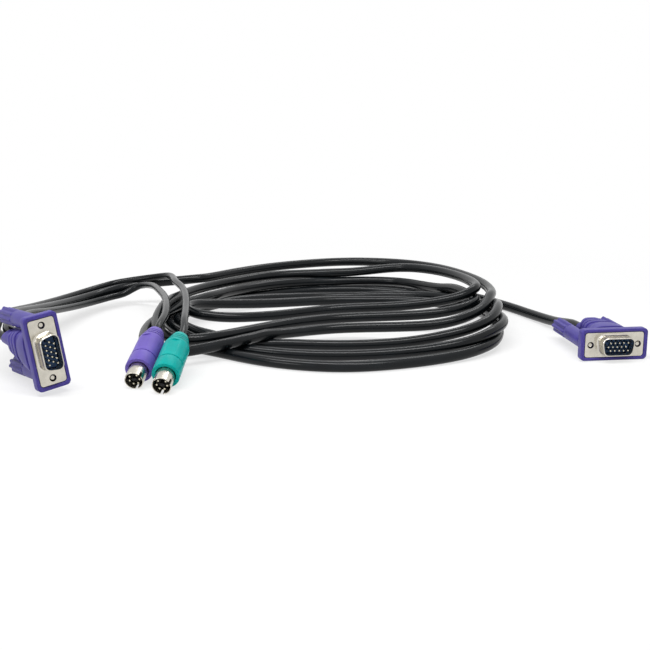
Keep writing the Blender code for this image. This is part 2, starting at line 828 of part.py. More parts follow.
def make_cords(parent, frames, black):
    """The thick cable's two free stretches, its coil, and the two thin cords."""
    spacing = POINTS_PER_DIAMETER * CABLE_DIAMETER
    for end, tail in (("switch", SWITCH_TAIL), ("computer", COMPUTER_TAIL)):
        neck = frames[f"{end}_plug"].matrix_basis @ neck_frame()
        route = leaving(neck, NECK_LENGTH) + [Vector(point) for point in tail]
        cable = smooth_points(route, spacing)
        points = cut_at_coil(cable, CABLE_DIAMETER / 2)
        make_cord(f"{end}_end_cable", points, CABLE_DIAMETER, black, parent)
    side = neck.to_3x3() @ Vector((0.0, 0.0, 1.0))
    twins = (("mouse", -1, MOUSE_CORD), ("keyboard", 1, KEYBOARD_CORD))
    for name, direction, middle in twins:
        plug = frames[f"{name}_plug"].matrix_basis
        route = beside(cable, side, direction) + [Vector(point) for point in middle]
        route += leaving(plug, ROUND_LENGTH)[::-1]
        points = smooth_points(route, 2 * POINTS_PER_DIAMETER * CORD_DIAMETER)
        make_cord(f"{name}_cord", points, CORD_DIAMETER, black, parent)
    make_coil(parent, black)


def main():
    clear_scene()
    purple = plastic("purple_plastic", (0.13, 0.09, 0.36), 0.42)
    violet = plastic("violet_plastic", (0.22, 0.15, 0.52), 0.38)
    teal = plastic("teal_plastic", (0.0, 0.48, 0.43), 0.36)
    blue = plastic("blue_insulator", (0.01, 0.08, 0.22), 0.45)
    black = plastic("black_plastic", (0.012, 0.012, 0.014), 0.5)
    jacket = plastic("black_jacket", (0.012, 0.012, 0.014), 0.32)
    nickel = plastic("nickel_plate", (0.72, 0.70, 0.66), 0.25, 1.0)
    gold = plastic("plated_contacts", (0.80, 0.74, 0.58), 0.25, 1.0)
    offset = (-LAYOUT_CENTRE[0], -LAYOUT_CENTRE[1])
    layout = add_empty("cable_layout", offset, (0, 0, 0), None)
    frames = {}
    for plug, (place, turn), cords in (
        ("switch_plug", SWITCH_PLUG, 1),
        ("computer_plug", COMPUTER_PLUG, 3),
    ):
        frame = add_empty(f"{plug}_frame", place, turn, layout)
        make_hood(plug, frame, purple, cords)
        make_shell(plug, frame, nickel)
        make_contacts(plug, frame, blue, gold)
        make_thumbscrews(plug, frame, purple, nickel)
        stand_on_table(frame)
        frames[plug] = frame
    for plug, (place, turn), colour in (
        ("mouse_plug", MOUSE_PLUG, teal),
        ("keyboard_plug", KEYBOARD_PLUG, violet),
    ):
        frame = add_empty(f"{plug}_frame", place, turn, layout)
        make_round_plug(plug, frame, colour, black, nickel)
        stand_on_table(frame)
        frames[plug] = frame
    make_cords(layout, frames, jacket)


main()
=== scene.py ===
"""A keyboard, video and mouse cable in a loose coil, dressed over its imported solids.

The thick cable is laid as one line from plug to plug. Its turns run through chosen
places, most of them given by the pixel of the photograph that shows them, and rounds
of pushing apart settle them on each other. Lengths are in metres unless said otherwise.
"""

import json
import math

import bmesh
import bpy
import numpy as np
from mathutils import Euler, Matrix, Vector


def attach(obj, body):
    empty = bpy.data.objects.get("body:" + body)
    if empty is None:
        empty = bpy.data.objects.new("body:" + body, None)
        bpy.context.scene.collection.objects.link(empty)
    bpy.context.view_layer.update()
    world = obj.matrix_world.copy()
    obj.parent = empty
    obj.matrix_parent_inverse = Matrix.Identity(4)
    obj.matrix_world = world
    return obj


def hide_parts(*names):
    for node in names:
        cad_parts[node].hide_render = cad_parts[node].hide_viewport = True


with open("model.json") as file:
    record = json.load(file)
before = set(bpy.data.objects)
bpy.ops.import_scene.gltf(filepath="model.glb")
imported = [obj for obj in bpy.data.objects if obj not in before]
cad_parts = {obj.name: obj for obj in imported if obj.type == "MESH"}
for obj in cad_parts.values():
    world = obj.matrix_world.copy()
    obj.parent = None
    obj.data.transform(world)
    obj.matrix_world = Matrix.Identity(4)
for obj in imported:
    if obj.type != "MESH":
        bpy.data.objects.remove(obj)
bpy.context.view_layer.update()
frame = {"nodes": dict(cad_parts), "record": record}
NODES = frame["nodes"]

# Middle of the plugs' box in plan, from the coil's middle; it is the model's origin
LAYOUT_CENTRE = Vector((0.00107, -0.09059, 0.0))

# Camera of the photograph: place from the coil's middle, pitch, lens and sensor in mm
CAMERA_FROM_COIL = Vector((-0.002, -0.619, 0.1524))
CAMERA_PITCH = math.radians(14)
CAMERA_LENS = 60.9
CAMERA_SENSOR = 36.0

# The photograph's width and height, and its focal length, in pixels
PHOTO_SIZE = 650
PHOTO_FOCAL = 1100

# Clearance between pieces, rounding of moulded edges, and from where an edge is sharp
GAP = 0.0003
SOFT_EDGE = 0.0006
SHARP_ANGLE = math.radians(40)

# Video plug, behind its face at Y = 0
SCREW_SPACING = 0.025
FLANGE = (0.0308, 0.0125, 0.0013)
SHEET = 0.0005
BEZEL = (0.0352, 0.0162, 0.0022)
BEZEL_DEPTH = 0.0042
BEZEL_PROUD = 0.0004
BEZEL_RIM = 0.0022
BODY_WIDTH = 0.0214
BODY_END_WIDTH = 0.0100
BODY_HEIGHT = 0.0152
BODY_LENGTH = 0.0280
BODY_SKEW = 0.0025
BODY_BULGE = 1.3
BODY_SQUARENESS = 3.4
BODY_ROUNDING = 0.0016
COLLAR_START = 0.0064
COLLAR_END = 0.0165
COLLAR_BOW = 0.0070
RIB_START = 0.0178
RIB_END = 0.0272
RIB_COUNT = 3
RIB_GROOVE = 0.0007
RIB_FADE = 1.6
LAYER = 0.0006
EAR_DIAMETER = 0.0082
EAR_LENGTH = 0.0282
NECK_ANGLE = math.radians(7)
NECK_LENGTH = 0.0080
NECK_WALL = 0.0009
NECK_SQUARENESS = 2.3

# Its fifteen contacts
PIN_DIAMETER = 0.00076
PIN_PITCH = 0.00229
ROW_SPACING = 0.00198
PIN_ROOT = 0.0013
PIN_TIP = -0.0052

# Its captive thumbscrews
SCREW_DIAMETER = 0.0028
SCREW_RECESS = 0.0004
SCREW_BORE = 0.0042
SCREW_BORE_DEPTH = 0.0090
THREAD_PITCH = 0.00064
THREAD_DEPTH = 0.0002
SCREW_TIP = 0.75
KNOB_DIAMETER = 0.0084
KNOB_LENGTH = 0.0170
KNOB_ROUNDING = 0.0008
KNOB_LOBES = 8
DISH_SHARE = 0.6
DISH_DEPTH = 0.0012
FLUTE_DEPTH = 0.0009
FLUTE_START = 0.72
KNOB_FREE_PLAY = 0.0006

# Round keyboard and mouse plugs
ROUND_DIAMETER = 0.0132
ROUND_LENGTH = 0.0330
ROUND_FRONT_RING = 0.0082
ROUND_TAIL_DIAMETER = 0.0082
ROUND_FLAT = 0.0060
GROOVE_DEPTH = 0.0005
GROOVE_WIDTH = 0.0007
GROOVE_PITCH = 0.0022
GROOVE_COUNT = 3
GROOVE_START = 0.0245
ROUND_SHELL_DIAMETER = 0.0090
ROUND_SHELL_WALL = 0.0004
ROUND_SHELL_REACH = 0.0088
ROUND_SHELL_ROOT = 0.0030
KEYWAY_WIDTH = 0.0012
KEYWAY_LENGTH = 0.0035
ROUND_INSULATOR_FACE = 0.0046
ROUND_PIN_DIAMETER = 0.0009
ROUND_PIN_REACH = 0.0030
ROUND_PIN_PLACES = [
    (side * across * 0.001, up * 0.001)
    for across, up in ((1.15, -2.2), (2.45, -0.3), (1.75, 1.9))
    for side in (-1, 1)
]
KEY_POST = (0.0021, 0.0012)

# Cords
CABLE_DIAMETER = 0.0056
CORD_DIAMETER = 0.0040

# Frames of the plugs: place of the face, then turn, tilt and roll in degrees
PLUGS = {
    "switch_plug": ((0.14313, 0.00839, 0.00838), (8.5, -0.8, 0.4)),
    "computer_plug": ((-0.12877, -0.04861, 0.02029), (36.1, -4.8, 82.7)),
    "mouse_plug": ((-0.07677, -0.04101, 0.00673), (-5.6, 16.6, 4.0)),
    "keyboard_plug": ((-0.09057, -0.03281, 0.00687), (-6.9, 17.5, -12.0)),
}

# How far in and out of a plug the ends of the cords are led straight
NECK_LEAD = (-0.002, 0.004, 0.010)
ROUND_LEAD = (0.041, 0.0325)

# Routes are lists of places, in one of two views. In "plan" a place is
# right, back and up from the coil's middle, in millimetres. In "photo" it is the column
# and row of the pixel that shows it, and its height in millimetres.

# The thick cable's way from the switch plug into the coil
SWITCH_TAIL = (
    ("plan", ((127, -17, 4.5), (117.5, 8, 3), (106, 31, 2.9))),
)

# Its turns as they were laid: far side, left end, near side and right end, over and over
TURNS = (
    ("plan", ((76, 70, 2.8), (11, 100, 2.8), (-61, 70, 2.8), (-96, -14, 2.8), (-80, -58, 2.8))),
    ("photo", (
        (215, 351.5, 2.8), (270, 362, 2.8), (345, 367.5, 2.8), (430, 360.5, 2.8),
        (477, 350.5, 4), (499, 336, 6.5),
    )),
    ("plan", ((78, 42, 3), (11, 76, 2.8), (-60, 44, 4), (-91, -16, 8))),
    ("photo", (
        (184, 334, 7), (225, 345, 4), (275, 353, 3), (345, 356, 3), (430, 350, 5),
        (478, 339.5, 8.5), (505, 323, 12),
    )),
    ("plan", ((74, 30, 8), (11, 55, 2.8), (-58, 24, 7), (-86, -14, 7))),
    ("photo", (
        (188, 329, 8), (208, 338, 7), (240, 341, 5), (335, 345.5, 3.5), (400, 343.5, 5),
        (430, 339, 7), (478, 327.5, 12), (499, 309, 16),
    )),
    ("plan", ((78, 24, 6),)),
    ("photo", (
        (330, 300.5, 5), (270, 303.5, 7), (225, 304, 9), (195, 303, 12),
        (181, 307.5, 13), (197, 315.5, 12), (220, 318, 11), (245, 317.5, 10), (280, 315, 9),
        (335, 308.5, 9), (400, 306.5, 11), (440, 302, 14), (465, 297, 17), (480, 289.5, 20),
    )),
    ("photo", (
        (472, 281.5, 20), (458, 275.5, 19), (435, 270, 18), (400, 267, 16), (345, 273, 13),
        (280, 274.5, 13), (240, 280, 13), (205, 287, 14),
        (184, 293, 15), (167, 306, 15), (156, 320, 14), (159, 334, 12), (178, 342.5, 10),
        (212, 337.5, 11), (245, 331.5, 10), (280, 324, 9), (335, 318, 8), (400, 316, 9),
        (440, 313.5, 11), (468, 307, 13), (483, 298, 15),
    )),
    ("photo", (
        (475, 297, 15), (458, 291.5, 13), (430, 287, 10), (400, 281.5, 8), (345, 280.5, 8),
        (280, 283.5, 9), (235, 290, 10), (205, 298, 12),
        (182, 304, 12), (163, 314, 12), (149, 325, 11), (141.5, 336, 10), (145, 347.5, 9),
        (161, 354.5, 8), (188, 352, 7), (212, 346.5, 8), (245, 340.5, 8), (280, 334, 7),
        (335, 328, 6), (400, 327, 8), (440, 325, 10), (470, 317, 13), (493, 300, 17),
    )),
    ("photo", (
        (489, 287.5, 18), (475, 279, 18), (440, 268.5, 17), (400, 263, 15), (345, 261.5, 14),
        (280, 266, 14), (240, 271.5, 14), (205, 278.5, 15),
    )),
)

# Its way out of the coil to the computer plug
COMPUTER_TAIL = (
    ("plan", (
        (-78, 50, 15.5), (-95, 50, 13.8), (-112, 50, 12.6), (-127, 46, 10.8), (-139, 34, 9.2),
        (-147.5, 15, 9.6), (-153.4, -10, 12.2), (-156.8, -36, 16), (-158.9, -58, 19.8),
        (-159.8, -76, 22.2),
    )),
)

# The stretch that the thin cords run beside the thick one, winding round it a little
BUNDLE_LENGTH = 0.172
BUNDLE_TWIST = math.radians(-38)
BUNDLE_STRIDE = 4
TWIN_OFFSET = (CABLE_DIAMETER + CORD_DIAMETER) / 2 + 2 * GAP

# Their ways on their own from there
MOUSE_CORD = (
    ("plan", ((-106, 44.5, 17.5), (-97, 38, 19.5))),
    ("photo", (
        (175.5, 281.5, 21), (182.5, 288, 21.5), (185.5, 297, 21.5), (185.5, 309, 21),
        (184, 321, 20.5),
    )),
)
KEYBOARD_CORD = (
    ("plan", ((-116, 41, 12.5), (-107, 29, 15.5))),
    ("photo", ((161, 292, 19), (165.5, 299, 20.5), (166.5, 307, 21), (165, 315, 20.5))),
)

# Decimals of a millimetre to which a place read from the photograph is rounded
COIL_DECIMALS = 0
CORD_DECIMALS = 1

# How a cord is laid: distance of its points, and fineness of its round skin
STEP = 0.003
CORD_BEVEL_STEPS = 6

# How the turns settle. Neighbours are looked for again after so many rounds, within so
# many diameters and at least so many diameters along the cable. In each round a point is
# drawn back to its chosen place, and to its neighbours' middle, by these shares.
SETTLING_ROUNDS = 160
LOOK_AGAIN = 8
NEARBY = 1.4
ALONG_APART = 3
DRAWN_BACK = 0.02
DRAWN_STRAIGHT = 0.3
HELD_POINTS = 24

# Light: strength of the surround, and each lamp's place, aim, size and watts
SURROUND_LIGHT = 0.25
LAMPS = {
    "above": ((-0.1, -0.25, 1.0), (0.0, 0.08, 0.0), (1.2, 0.2), 11.0),
    "behind": ((0.2, 0.8, 0.9), (0.0, 0.08, 0.0), (0.8, 0.1), 2.0),
    "front_left": ((-0.9, -0.9, 0.5), (-0.05, 0.0, 0.0), (0.4, 0.3), 2.4),
}

# The table: half its width, its white, and where it turns plain white to the eye: from
# and to which distance, and from and to which share
TABLE_HALF = 6.0
TABLE_WHITE = (0.93, 0.93, 0.93, 1.0)
TABLE_FADE = (0.16, 0.42, 0.68, 1.0)


def plug_frame(plug):
    """Matrix of a plug: X along its face, Z to the wide side, -Y into its socket."""
    place, (turn, tilt, roll) = PLUGS[plug]
    angles = (math.radians(tilt), math.radians(roll), math.radians(turn))
    return Matrix.Translation(place) @ Euler(angles, "YXZ").to_matrix().to_4x4()


def neck_frame(plug):
    """Matrix of the neck, which leaves the hood at a slight angle."""
    turn = Matrix.Rotation(NECK_ANGLE, 4, "Z")
    return plug_frame(plug) @ Matrix.Translation((-BODY_SKEW, BODY_LENGTH, 0.0)) @ turn


def seen_at(column, row, height, decimals):
    """The place, in millimetres, that a pixel of the photograph shows at a height."""
    eye = 1000 * CAMERA_FROM_COIL
    across = (column - PHOTO_SIZE / 2) / PHOTO_FOCAL
    down = (row - PHOTO_SIZE / 2) / PHOTO_FOCAL
    cosine, sine = math.cos(CAMERA_PITCH), math.sin(CAMERA_PITCH)
    depth = (eye.z - height) / (sine + down * cosine)
    right = eye.x + across * depth
    back = eye.y + depth * (cosine - down * sine)
    return round(right, decimals), round(back, decimals), height


def placed(route, decimals=CORD_DECIMALS):
    """The places of a route, in the model's frame."""
    places = []
    for view, points in route:
        if view == "photo":
            points = [seen_at(*point, decimals) for point in points]
        places += [Vector(point) / 1000 - LAYOUT_CENTRE for point in points]
    return places


def mixed(a, b, low, high, t):
    """Between a, where t is low, and b, where t is high."""
    return a * ((high - t) / (high - low)) + b * ((t - low) / (high - low))


def smooth_line(points, step=STEP):
    """Points a step apart on the centripetal curve through the given ones."""
    ends = [2 * points[0] - points[1], *points, 2 * points[-1] - points[-2]]
    curve = []
    for before, start, end, after in zip(ends, ends[1:], ends[2:], ends[3:]):
        knots = [0.0]
        for first, second in ((before, start), (start, end), (end, after)):
            knots.append(knots[-1] + math.sqrt((second - first).length))
        parts = max(2, round((end - start).length / step))
        for part in range(parts):
            t = knots[1] + (knots[2] - knots[1]) * part / parts
            near = mixed(before, start, knots[0], knots[1], t)
            middle = mixed(start, end, knots[1], knots[2], t)
            far = mixed(end, after, knots[2], knots[3], t)
            first = mixed(near, middle, knots[0], knots[2], t)
            second = mixed(middle, far, knots[1], knots[3], t)
            curve.append(mixed(first, second, knots[1], knots[2], t))
    curve.append(points[-1])
    return curve


def settle(points, diameter):
    """Pushes the turns of a cord off each other and off the table.

    Each point is also drawn to its chosen place and to its neighbours' middle.
    The first and last few points are held where they are.
    """
    line = np.array(points)
    chosen = line.copy()
    count = len(line)
    order = np.arange(count)
    apart = int(ALONG_APART * diameter / STEP)
    for turn in range(SETTLING_ROUNDS):
        if turn % LOOK_AGAIN == 0:
            near = ((line[:, None] - line[None]) ** 2).sum(2) < (NEARBY * diameter) ** 2
            first, second = np.nonzero(near & (order[None] - order[:, None] > apart))
        line += DRAWN_BACK * (chosen - line)
        between = line[first] - line[second]
        distance = np.maximum(np.linalg.norm(between, axis=1), 1e-6)
        overlap = np.clip(diameter - distance, 0, None)
        push = between * (0.5 * overlap / distance)[:, None]
        moves = np.zeros_like(line)
        pushes = np.zeros(count)
        for index, sign in ((first, 1), (second, -1)):
            np.add.at(moves, index, sign * push)
            np.add.at(pushes, index, overlap > 0)
        line += moves / np.maximum(pushes, 1)[:, None]
        line[:, 2] = np.maximum(line[:, 2], diameter / 2)
        line[1:-1] += DRAWN_STRAIGHT * ((line[:-2] + line[2:]) / 2 - line[1:-1])
        line[:HELD_POINTS] = chosen[:HELD_POINTS]
        line[-HELD_POINTS:] = chosen[-HELD_POINTS:]
    return [Vector(point) for point in line]


def beside(cable, side, direction):
    """Points next to a cable's own: they start on one side and wind round it."""
    points = []
    length = 0.0
    for last, here, following in zip([cable[0], *cable], cable, cable[1:]):
        length += (here - last).length
        if length > BUNDLE_LENGTH:
            break
        along = (following - last).normalized()
        right = along.cross(Vector((0.0, 0.0, 1.0))).normalized()
        up = right.cross(along).normalized()
        if not points:
            start = math.atan2(side.dot(up), side.dot(right))
        angle = start + BUNDLE_TWIST * length / BUNDLE_LENGTH
        aside = right * math.cos(angle) + up * math.sin(angle)
        points.append(here + direction * TWIN_OFFSET * aside)
    return points


def make_cord(name, points, diameter, material):
    """A round cord with a smooth skin along its points."""
    curve = bpy.data.curves.new(name, "CURVE")
    curve.dimensions = "3D"
    curve.bevel_depth = diameter / 2
    curve.bevel_resolution = CORD_BEVEL_STEPS
    curve.use_fill_caps = True
    line = curve.splines.new("POLY")
    line.points.add(len(points) - 1)
    for target, point in zip(line.points, points):
        target.co = (*point, 1.0)
    line.use_smooth = True
    curve.materials.append(material)
    cord = bpy.data.objects.new(name, curve)
    bpy.context.scene.collection.objects.link(cord)
    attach(cord, "cable")
    return cord


class Shading:
    """Builds a material's nodes: one shader with noise for its colour and bumps."""

    def __init__(self, name, colour, roughness, metallic=0.0, gloss=0.5):
        self.material = bpy.data.materials.new(name)
        self.material.use_nodes = True
        self.tree = self.material.node_tree
        self.shader = self.tree.nodes["Principled BSDF"]
        self.colour = colour
        self.shader.inputs["Base Color"].default_value = (*colour, 1.0)
        self.shader.inputs["Roughness"].default_value = roughness
        self.shader.inputs["Metallic"].default_value = metallic
        self.shader.inputs["Specular IOR Level"].default_value = gloss
        self.roughness = roughness
        self.place = self.tree.nodes.new("ShaderNodeTexCoord").outputs["Object"]

    def noise(self, scale, detail=2.0):
        """Noise in the piece's own coordinates."""
        texture = self.tree.nodes.new("ShaderNodeTexNoise")
        texture.inputs["Scale"].default_value = scale
        texture.inputs["Detail"].default_value = detail
        self.tree.links.new(self.place, texture.inputs["Vector"])
        return texture.outputs["Fac"]

    def vary_colour(self, scale, darker, lighter, detail=3.0):
        """The colour runs between a darker and a lighter share of itself."""
        ramp = self.tree.nodes.new("ShaderNodeValToRGB")
        for stop, share, place in zip(ramp.color_ramp.elements, (darker, lighter), (0.3, 0.7)):
            stop.position = place
            stop.color = (*[min(1.0, c * share) for c in self.colour], 1.0)
        self.tree.links.new(self.noise(scale, detail), ramp.inputs["Fac"])
        self.tree.links.new(ramp.outputs["Color"], self.shader.inputs["Base Color"])
        return self

    def vary_roughness(self, scale, spread, detail=2.0):
        """The roughness runs up and down by the spread."""
        change = self.tree.nodes.new("ShaderNodeMapRange")
        change.inputs["To Min"].default_value = max(0.02, self.roughness - spread)
        change.inputs["To Max"].default_value = min(1.0, self.roughness + spread)
        self.tree.links.new(self.noise(scale, detail), change.inputs["Value"])
        self.tree.links.new(change.outputs["Result"], self.shader.inputs["Roughness"])
        return self

    def bump(self, scale, height, detail=2.0):
        """Fine bumps of a height in metres."""
        bump = self.tree.nodes.new("ShaderNodeBump")
        bump.inputs["Strength"].default_value = 1.0
        bump.inputs["Distance"].default_value = height
        self.tree.links.new(self.noise(scale, detail), bump.inputs["Height"])
        self.tree.links.new(bump.outputs["Normal"], self.shader.inputs["Normal"])
        return self


def softened(profile, radius=SOFT_EDGE, steps=4):
    """A row of points in a plane with each of its corners rounded."""
    points = [Vector(point) for point in profile]
    soft = [points[0]]
    for before, corner, after in zip(points, points[1:], points[2:]):
        reach = min(radius, *((other - corner).length * 0.45 for other in (before, after)))
        start = corner + (before - corner).normalized() * reach
        end = corner + (after - corner).normalized() * reach
        for step in range(steps + 1):
            t = step / steps
            soft.append(start * (1 - t) ** 2 + corner * 2 * t * (1 - t) + end * t**2)
    return soft + [points[-1]]


def skin(build, rings, closed=False):
    """Skins rings with the same number of points, with capped ends."""
    made = [[build.verts.new(point) for point in ring] for ring in rings]
    for first, second in zip(made, made[1:] + made[:1] if closed else made[1:]):
        for k in range(len(first)):
            n = (k + 1) % len(first)
            build.faces.new((first[k], first[n], second[n], second[k]))
    if not closed:
        build.faces.new(made[0])
        build.faces.new(made[-1])


def circle(y, radius, x=0.0, z=0.0, steps=48, lobes=0.0):
    """A circle about the plug's length, or a fluted one where lobes is a depth."""
    ring = []
    for k in range(steps):
        angle = 2 * math.pi * k / steps
        r = radius - lobes * (0.5 - 0.5 * math.cos(KNOB_LOBES * angle))
        ring.append(Vector((x + r * math.cos(angle), y, z + r * math.sin(angle))))
    return ring


def turned(profile, x=0.0, z=0.0, steps=48):
    """Circles for each place and radius of a turned profile."""
    return [circle(y, radius, x, z, steps) for y, radius in profile]


def rectangle(size, y, grow=0.0, corner_steps=8):
    """A rectangle with round corners across the plug, moved outwards by grow."""
    width, height, radius = size
    ring = []
    for quarter, (side, up) in enumerate(((1, 1), (-1, 1), (-1, -1), (1, -1))):
        for step in range(corner_steps + 1):
            angle = math.pi / 2 * (quarter + step / corner_steps)
            x = side * (width / 2 - radius) + (radius + grow) * math.cos(angle)
            z = up * (height / 2 - radius) + (radius + grow) * math.sin(angle)
            ring.append(Vector((x, y, z)))
    return ring


def superellipse(y, half_width, half_height, squareness, steps=64):
    """An ellipse, at a squareness of 2, that fills its corners more as it grows."""
    ring = []
    for k in range(steps):
        angle = 2 * math.pi * (k + 0.5) / steps
        c, s = math.cos(angle), math.sin(angle)
        x = half_width * math.copysign(abs(c) ** (2 / squareness), c)
        z = half_height * math.copysign(abs(s) ** (2 / squareness), s)
        ring.append(Vector((x, y, z)))
    return ring


def mesh_of(name, shape):
    """A mesh that is filled in by shape(build), with its faces pointing outwards."""
    mesh = bpy.data.meshes.new(name)
    build = bmesh.new()
    shape(build)
    bmesh.ops.recalc_face_normals(build, faces=build.faces)
    build.to_mesh(mesh)
    build.free()
    return mesh


def add_piece(name, shape, material, place, body, nodes, cutter=None):
    """A piece with its shape, less the cutter's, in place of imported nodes."""
    piece = bpy.data.objects.new(name, mesh_of(name, shape))
    bpy.context.scene.collection.objects.link(piece)
    if cutter:
        piece.data = cut(piece, cutter)
    piece.data.shade_smooth()
    piece.data.set_sharp_from_angle(angle=SHARP_ANGLE)
    piece.data.materials.append(material)
    piece.matrix_world = place
    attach(piece, body)
    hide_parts(*nodes)
    return piece


def cut(piece, shape):
    """The mesh of a piece with the shape taken out of it."""
    tool = bpy.data.objects.new("cutter", mesh_of("cutter", shape))
    bpy.context.scene.collection.objects.link(tool)
    change = piece.modifiers.new("cut", "BOOLEAN")
    change.object = tool
    graph = bpy.context.evaluated_depsgraph_get()
    result = bpy.data.meshes.new_from_object(piece.evaluated_get(graph))
    piece.modifiers.clear()
    bpy.data.objects.remove(tool, do_unlink=True)
    return result


def screw_sides():
    """Name and place across the plug of its two screws."""
    return (("left", -SCREW_SPACING / 2), ("right", SCREW_SPACING / 2))


def along_body(y):
    """How far along the hood's body a place is, from 0 at the frame to 1 at the neck."""
    return max(0.0, (y - BEZEL_DEPTH) / (BODY_LENGTH - BEZEL_DEPTH))


def body_ring(y_of, grow_of):
    """A ring round the hood's body; place and lift can change from its middle out."""
    ring = []
    for point in superellipse(0.0, 1.0, 1.0, BODY_SQUARENESS):
        y, grow = y_of(point.x), grow_of(point.z)
        narrowing = (BODY_WIDTH - BODY_END_WIDTH) / 2 * along_body(y) ** BODY_BULGE
        half = BODY_WIDTH / 2 - narrowing + grow
        x = point.x * half - BODY_SKEW * along_body(y) ** 2
        ring.append(Vector((x, y, point.z * (BODY_HEIGHT / 2 + grow))))
    return ring


def body_band(build, start, end, bow, fades):
    """A raised band round the hood's body, whose rear edge can bow forwards."""
    lift = [(0.0, -LAYER), (0.0, LAYER), (end - start, LAYER), (end - start, -LAYER)]
    rings = []
    for along, grow in softened(lift, LAYER):
        share = along / (end - start)

        def place(across):
            return start + share * (end - bow * across**2 - start)

        def rise(up):
            return grow * min(1.0, abs(up) * RIB_FADE) if fades and grow > 0 else grow

        rings.append(body_ring(place, rise))
    skin(build, rings)


def hood_body(build):
    """The hood's body, which narrows, leans aside and ends in a rounded edge."""
    start, end = BEZEL_DEPTH / 2, BODY_LENGTH
    steps = 24
    profile = [
        (start + (end - BODY_ROUNDING - start) * k / steps, 0.0) for k in range(steps + 1)
    ]
    for k in range(1, 7):
        angle = math.pi / 2 * k / 6
        y = end - BODY_ROUNDING * (1 - math.sin(angle))
        profile.append((y, -BODY_ROUNDING * (1 - math.cos(angle))))
    skin(build, [body_ring(lambda _, y=y: y, lambda _, g=g: g) for y, g in profile])


def hood_ears(build):
    """Two round ears, bored at the front for the screws."""
    for _, x in screw_sides():
        r = EAR_DIAMETER / 2
        profile = [(SCREW_BORE_DEPTH, SCREW_BORE / 2), (BEZEL_DEPTH / 2, SCREW_BORE / 2)]
        profile += [(BEZEL_DEPTH / 2, r), (EAR_LENGTH, r), (EAR_LENGTH, 0.5 * r)]
        skin(build, turned(softened(profile), x))


def hood_neck(build, cords):
    """The neck round the thick cable alone, or round it with a thin cord on each side."""
    half = CABLE_DIAMETER / 2 + NECK_WALL
    height = half
    if cords == 3:
        height = TWIN_OFFSET + CORD_DIAMETER / 2 + NECK_WALL / 2
    profile = [(-BODY_LENGTH / 4, 0.0), (NECK_LENGTH, 0.0), (NECK_LENGTH, -NECK_WALL)]
    place = Matrix.Translation((-BODY_SKEW, BODY_LENGTH, 0.0))
    place = place @ Matrix.Rotation(NECK_ANGLE, 4, "Z")
    rings = []
    for y, grow in softened(profile, NECK_WALL):
        ring = superellipse(y, half + grow, height + grow, NECK_SQUARENESS)
        rings.append([place @ point for point in ring])
    skin(build, rings)


def hood_shape(cords):
    """Body with collar and ribs, ears for the screws and the neck round the cords."""

    def shape(build):
        hood_body(build)
        body_band(build, COLLAR_START, COLLAR_END, COLLAR_BOW, False)
        pitch = (RIB_END - RIB_START + RIB_GROOVE) / RIB_COUNT
        for rib in range(RIB_COUNT):
            rear = RIB_START + (rib + 1) * pitch - RIB_GROOVE
            body_band(build, RIB_START + rib * pitch, rear, 0.0, True)
        hood_ears(build)
        hood_neck(build, cords)

    return shape


def bezel_shape(build):
    """Frame round the sheet metal flange, which lies sunk in it."""
    floor = SHEET + GAP
    profile = [(floor, BEZEL_RIM), (-BEZEL_PROUD, BEZEL_RIM), (-BEZEL_PROUD, 0.0)]
    profile += [(BEZEL_DEPTH, 0.0), (BEZEL_DEPTH, BEZEL_RIM)]
    rings = []
    for y, inwards in softened(profile, SOFT_EDGE):
        outer, inner = rectangle(BEZEL, y), rectangle(FLANGE, y, GAP)
        share = inwards / BEZEL_RIM
        rings.append([a.lerp(b, share) for a, b in zip(outer, inner)])
    skin(build, rings)


def screw_bores(build):
    """The holes for the screws, from before the frame to behind it."""
    for _, x in screw_sides():
        ends = ((-SHEET, SCREW_BORE / 2), (2 * BEZEL_DEPTH, SCREW_BORE / 2))
        skin(build, turned(ends, x, steps=32))


def knob_shape(build):
    """A fluted knob with rounded ends and a dish in its rear face."""
    front = EAR_LENGTH + KNOB_FREE_PLAY
    radius = KNOB_DIAMETER / 2
    profile = [
        (0.0, radius * 0.5),
        (0.0, radius),
        (KNOB_LENGTH, radius),
        (KNOB_LENGTH, radius * DISH_SHARE),
        (KNOB_LENGTH - DISH_DEPTH, radius * DISH_SHARE),
    ]
    rings = []
    for y, r in softened(profile, KNOB_ROUNDING, 6):
        share = (r / radius - FLUTE_START) / (1 - FLUTE_START)
        depth = FLUTE_DEPTH * max(0.0, min(1.0, share))
        rings.append(circle(front + y, r, steps=96, lobes=depth))
    skin(build, rings)


def screw_shape(build):
    """A steel screw, with its thread from the tip to the end of its ear."""
    radius = SCREW_DIAMETER / 2
    steps, per_turn = 32, 8
    end = EAR_LENGTH + KNOB_FREE_PLAY + GAP
    count = int((end - SCREW_RECESS) / THREAD_PITCH * per_turn)
    rings = [circle(SCREW_RECESS, radius * 0.6, steps=steps)]
    for k in range(count):
        y = SCREW_RECESS + (k + 1) * THREAD_PITCH / per_turn
        taper = min(1.0, SCREW_TIP + (1 - SCREW_TIP) * k / per_turn)
        ring = []
        for n, point in enumerate(circle(y, 1.0, steps=steps)):
            turn = (n / steps + k / per_turn) % 1.0
            r = radius * taper - THREAD_DEPTH * abs(2 * turn - 1)
            ring.append(Vector((point.x * r, y, point.z * r)))
        rings.append(ring)
    skin(build, rings)


